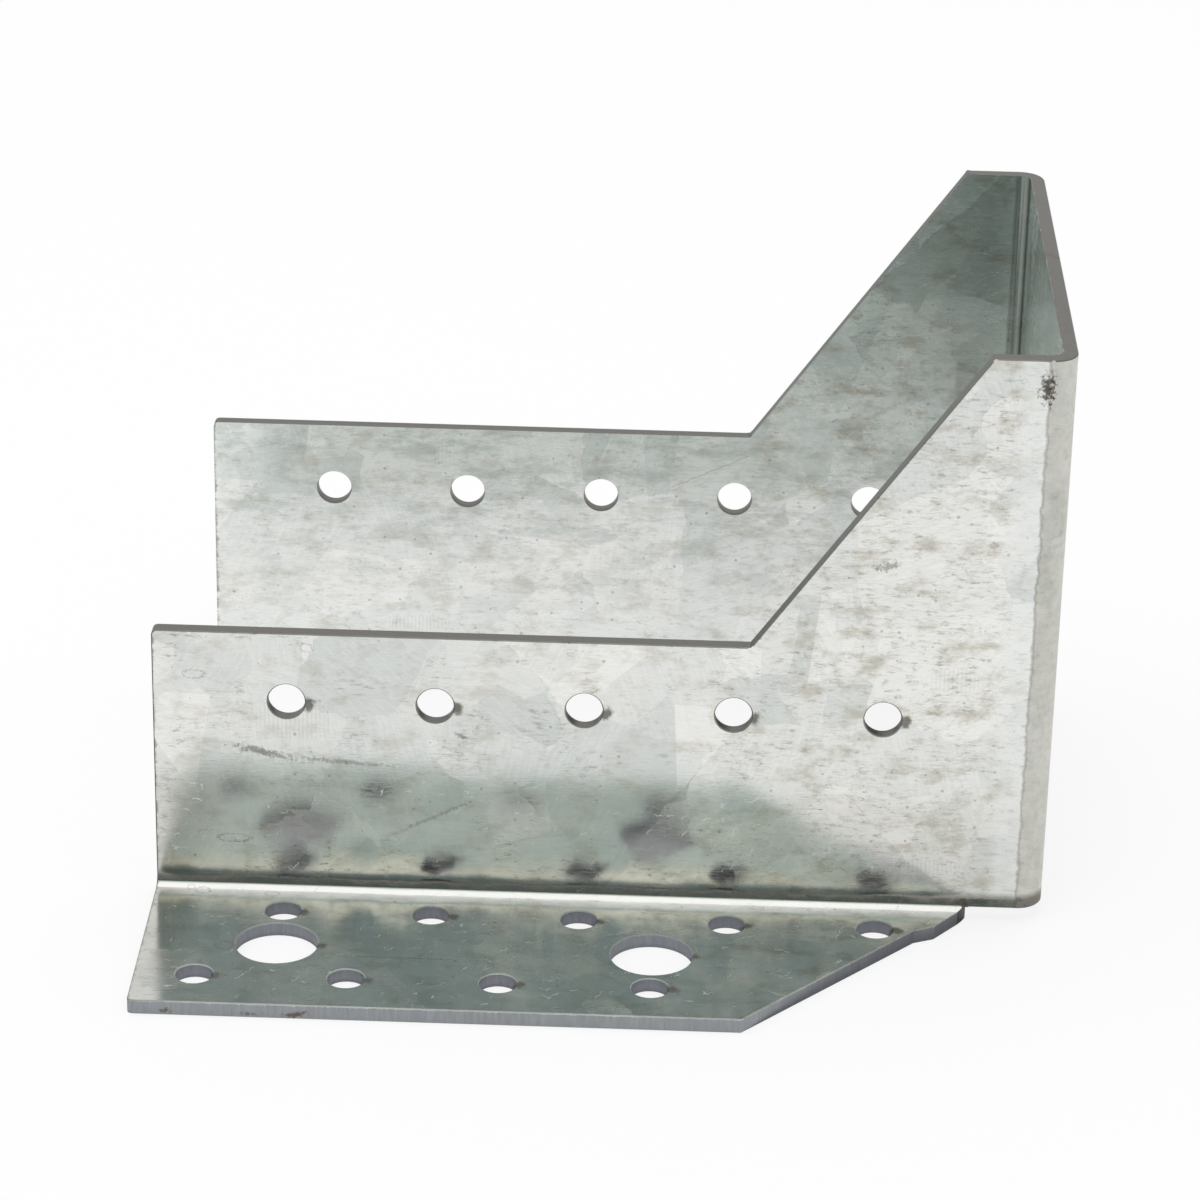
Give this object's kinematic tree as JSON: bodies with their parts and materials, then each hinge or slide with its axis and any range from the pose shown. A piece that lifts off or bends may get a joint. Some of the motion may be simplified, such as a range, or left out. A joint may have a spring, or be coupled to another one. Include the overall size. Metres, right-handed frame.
{
  "type": "joist hanger",
  "caption": "Face-fixed joist hanger folded from one galvanised sheet: a U-shaped pocket with sloping side plates and two outward nailing flanges.",
  "frame": {"origin": "centre of the bounding box in plan, in the plane of the flanges' back faces", "axes": "+Z away from the header, along the joist; +X along the hanger's height towards the seat, which is down when it is fixed to a wall; Y across the joist"},
  "size_m": [0.121, 0.141, 0.082],
  "materials": {
    "galvanised_sheet": "hot-dip galvanised, satin with faint spangle, bare sheared edges"
  },
  "bodies": {
    "root": {"joist_hanger": "galvanised_sheet"}
  },
  "joints": []
}
